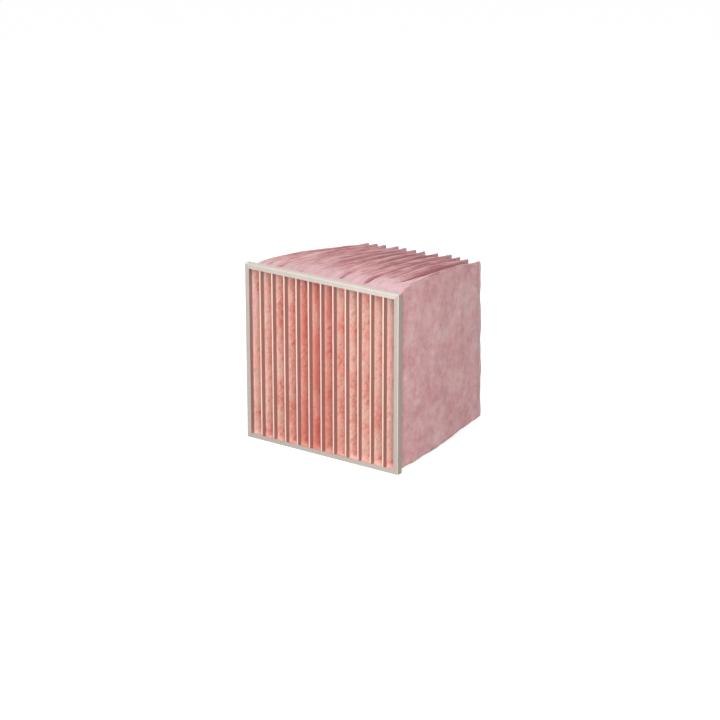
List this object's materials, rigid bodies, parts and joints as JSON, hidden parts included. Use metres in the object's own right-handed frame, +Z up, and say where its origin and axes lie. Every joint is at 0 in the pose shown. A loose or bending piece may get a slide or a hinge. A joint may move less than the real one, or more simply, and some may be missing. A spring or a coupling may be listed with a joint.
{
  "type": "bag air filter",
  "caption": "Bag air filter: a square galvanised steel header frame holding a row of deep wedge-shaped glass fibre pockets between folded strips.",
  "frame": {"origin": "on the floor, under the middle of the whole filter's box", "axes": "+Y along the air stream, from the header's front face to the pockets' rear hems; +Z up, along the pockets' height; X across the row of pockets"},
  "size_m": [0.592, 0.5197, 0.6074],
  "materials": {
    "galvanised_frame": "galvanised sheet, faint spangle, satin",
    "strip_steel": "galvanised strip, satin",
    "glass_fibre": "pink glass fibre wadding, matt and fluffy"
  },
  "bodies": {
    "root": {"header_rail_bottom": "galvanised_frame", "header_rail_left": "galvanised_frame", "header_rail_top": "galvanised_frame", "header_rail_right": "galvanised_frame", "end_strip_left": "strip_steel", "lip_strip_01": "strip_steel", "lip_strip_02": "strip_steel", "lip_strip_03": "strip_steel", "lip_strip_04": "strip_steel", "lip_strip_05": "strip_steel", "lip_strip_06": "strip_steel", "lip_strip_07": "strip_steel", "lip_strip_08": "strip_steel", "lip_strip_09": "strip_steel", "lip_strip_10": "strip_steel", "lip_strip_11": "strip_steel", "end_strip_right": "strip_steel", "pocket_01": "glass_fibre", "pocket_02": "glass_fibre", "pocket_03": "glass_fibre", "pocket_04": "glass_fibre", "pocket_05": "glass_fibre", "pocket_06": "glass_fibre", "pocket_07": "glass_fibre", "pocket_08": "glass_fibre", "pocket_09": "glass_fibre", "pocket_10": "glass_fibre", "pocket_11": "glass_fibre", "pocket_12": "glass_fibre"}
  },
  "joints": []
}
